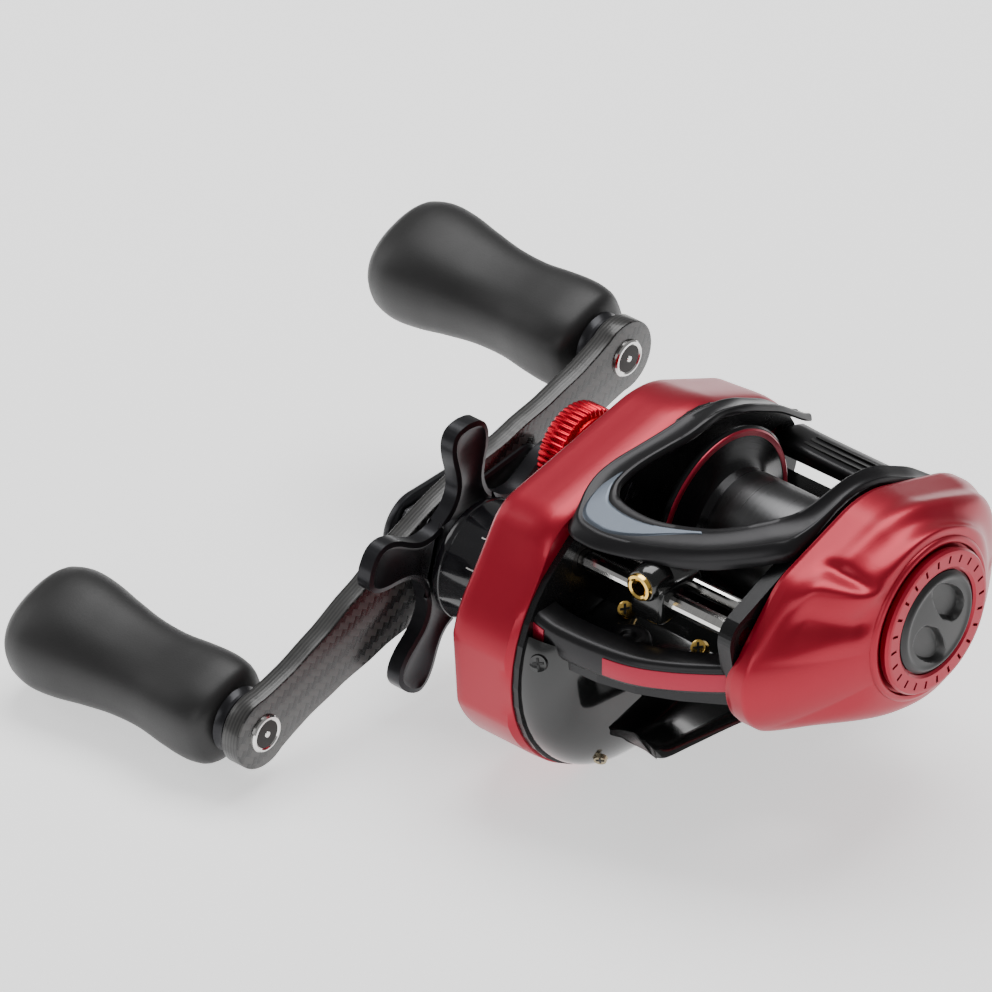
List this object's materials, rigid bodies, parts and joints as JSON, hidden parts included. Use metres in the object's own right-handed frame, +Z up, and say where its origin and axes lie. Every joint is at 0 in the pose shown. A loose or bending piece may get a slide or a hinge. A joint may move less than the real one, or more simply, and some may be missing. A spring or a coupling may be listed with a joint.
{
  "type": "baitcasting reel",
  "caption": "Low-profile fishing reel with a geared spool, level-wind line guide, star drag, twin-grip handle, thumb clutch bar and brake dial.",
  "frame": {"origin": "middle of the reel foot's underside", "axes": "+X along the spool axis towards the palm side, -Y to the front where the line leaves, +Z up away from the rod"},
  "size_m": [0.1366, 0.11, 0.0566],
  "materials": {
    "red": "satin",
    "black": "satin",
    "gloss_black": "gloss",
    "inlay_grey": "satin",
    "spool_black": "satin",
    "carbon": "satin",
    "grip": "matte",
    "brass": "polished",
    "nylon": "matte",
    "fibre": "matte",
    "magnet": "satin",
    "steel": "polished"
  },
  "bodies": {
    "frame": {"main_frame": "black", "gear_case": "gloss_black", "reel_foot": "black", "front_hood": "black", "hood_inlay": "inlay_grey", "handle_side_cover": "red", "cover_screw_1": "steel", "cover_screw_2": "steel", "cover_screw_3": "steel", "drive_shaft_collar": "gloss_black", "one_way_bearing": "steel", "drive_shaft_bearing": "steel", "spool_bearing_handle": "steel", "pinion_bearing": "steel", "worm_bushing_left": "brass", "worm_bushing_right": "brass", "guide_bar": "steel"},
    "handle": {"drive_shaft": "steel", "level_drive_gear": "nylon", "ratchet_wheel": "steel", "drive_gear": "brass", "drag_washer_inner": "fibre", "drag_key_washer": "steel", "drag_washer_outer": "fibre", "drag_pressure_plate": "steel", "clutch_sleeve": "steel", "spring_washer": "steel", "handle_arm": "carbon", "handle_nut": "steel", "nut_cover": "black", "knob_spindle_front": "steel", "knob_spindle_rear": "steel", "knob_collar_front": "black", "knob_collar_rear": "black"},
    "star": {"star_drag": "black"},
    "front_grip": {"grip_front": "grip"},
    "rear_grip": {"grip_rear": "grip"},
    "cast_control": {"cast_control_cap": "red", "tension_shim": "brass"},
    "spool": {"spool": "spool_black", "spool_shaft": "steel", "spool_pin": "steel", "brake_inductor": "steel"},
    "thumb_bar": {"thumb_bar": "black", "clutch_cam": "steel"},
    "yoke": {"clutch_yoke": "steel", "yoke_spring_front": "steel", "yoke_spring_rear": "steel"},
    "pinion": {"pinion_gear": "brass"},
    "worm": {"worm_shaft": "steel", "worm_gear": "nylon"},
    "line_guide": {"line_guide": "black", "line_guide_ring": "brass", "pawl": "brass"},
    "palm_cover": {"palm_side_plate": "red", "brake_housing": "black", "spool_bearing_palm": "steel"},
    "brake_dial": {"brake_dial": "gloss_black", "brake_cap": "gloss_black", "magnet_ring": "magnet"}
  },
  "joints": [
    {"name": "handle_spin", "type": "hinge", "parent": "frame", "child": "handle", "pos_m": [0, -0.01519, 0.00661], "axis": [1, 0, 0], "continuous": true},
    {"name": "star_spin", "type": "hinge", "parent": "handle", "child": "star", "pos_m": [0, -0.01519, 0.00661], "axis": [1, 0, 0], "range_deg": [-360, 360]},
    {"name": "front_grip_spin", "type": "hinge", "parent": "handle", "child": "front_grip", "pos_m": [0, -0.05908, -0.00782], "axis": [1, 0, 0], "continuous": true},
    {"name": "rear_grip_spin", "type": "hinge", "parent": "handle", "child": "rear_grip", "pos_m": [0, 0.0287, 0.02104], "axis": [1, 0, 0], "continuous": true},
    {"name": "spool_spin", "type": "hinge", "parent": "frame", "child": "spool", "pos_m": [0, 0.004, 0.02], "axis": [1, 0, 0], "continuous": true},
    {"name": "worm_spin", "type": "hinge", "parent": "frame", "child": "worm", "pos_m": [0, -0.02299, 0.0235], "axis": [1, 0, 0], "continuous": true},
    {"name": "line_guide_slide", "type": "slide", "parent": "frame", "child": "line_guide", "axis": [1, 0, 0], "range_m": [-0.0115, 0.0115]},
    {"name": "thumb_press", "type": "slide", "parent": "frame", "child": "thumb_bar", "axis": [0, 0, -1], "range_m": [0, 0.004]},
    {"name": "yoke_slide", "type": "slide", "parent": "frame", "child": "yoke", "axis": [-1, 0, 0], "range_m": [0, 0.0016]},
    {"name": "pinion_spin", "type": "hinge", "parent": "yoke", "child": "pinion", "pos_m": [0, 0.004, 0.02], "axis": [1, 0, 0], "continuous": true},
    {"name": "cast_control_spin", "type": "hinge", "parent": "frame", "child": "cast_control", "pos_m": [0, 0.004, 0.02], "axis": [1, 0, 0], "range_deg": [-360, 360]},
    {"name": "palm_cover_slide", "type": "slide", "parent": "frame", "child": "palm_cover", "axis": [1, 0, 0], "range_m": [0, 0.03]},
    {"name": "brake_dial_spin", "type": "hinge", "parent": "palm_cover", "child": "brake_dial", "pos_m": [0, 0.004, 0.02], "axis": [1, 0, 0], "range_deg": [0, 270]}
  ],
  "couplings": [
    {"joint": "spool_spin", "follows": "handle_spin", "ratio": -10.143},
    {"joint": "pinion_spin", "follows": "handle_spin", "ratio": -10.143},
    {"joint": "worm_spin", "follows": "handle_spin", "ratio": -2.4444},
    {"joint": "yoke_slide", "follows": "thumb_press", "ratio": 0.4}
  ]
}
